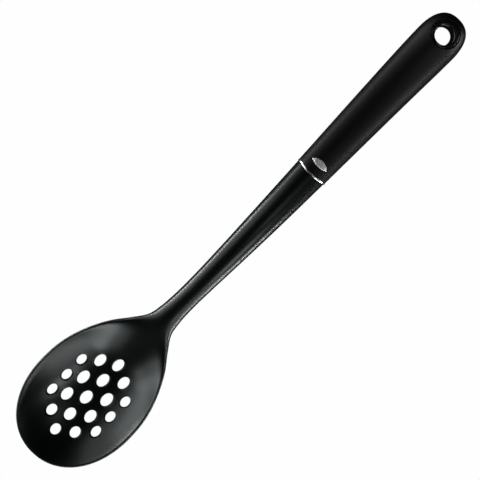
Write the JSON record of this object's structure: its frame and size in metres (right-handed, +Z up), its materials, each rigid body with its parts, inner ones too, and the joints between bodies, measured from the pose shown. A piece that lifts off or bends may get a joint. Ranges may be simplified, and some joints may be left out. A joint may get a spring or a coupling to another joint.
{
  "type": "slotted serving spoon",
  "caption": "Black nylon serving spoon with an oval bowl drilled with drain holes, an arched neck, a bright ring, a soft grip and a hang hole.",
  "frame": {"origin": "middle of the spoon's outline in plan, at the level of the table it lies on", "axes": "+X along the spoon from the tip of the bowl to the handle end, +Y across it, +Z up out of the open bowl"},
  "size_m": [0.343, 0.067, 0.0372],
  "materials": {
    "nylon": "satin moulded nylon",
    "soft_grip": "matte soft-touch",
    "core_plastic": "plain moulded",
    "bright_trim": "polished plating",
    "gloss_black": "polished moulded"
  },
  "bodies": {
    "root": {"spoon_head": "nylon", "trim_ring": "bright_trim", "handle_core": "core_plastic", "grip_sleeve": "soft_grip", "badge_plate": "bright_trim", "hang_eyelet": "gloss_black"}
  },
  "joints": []
}
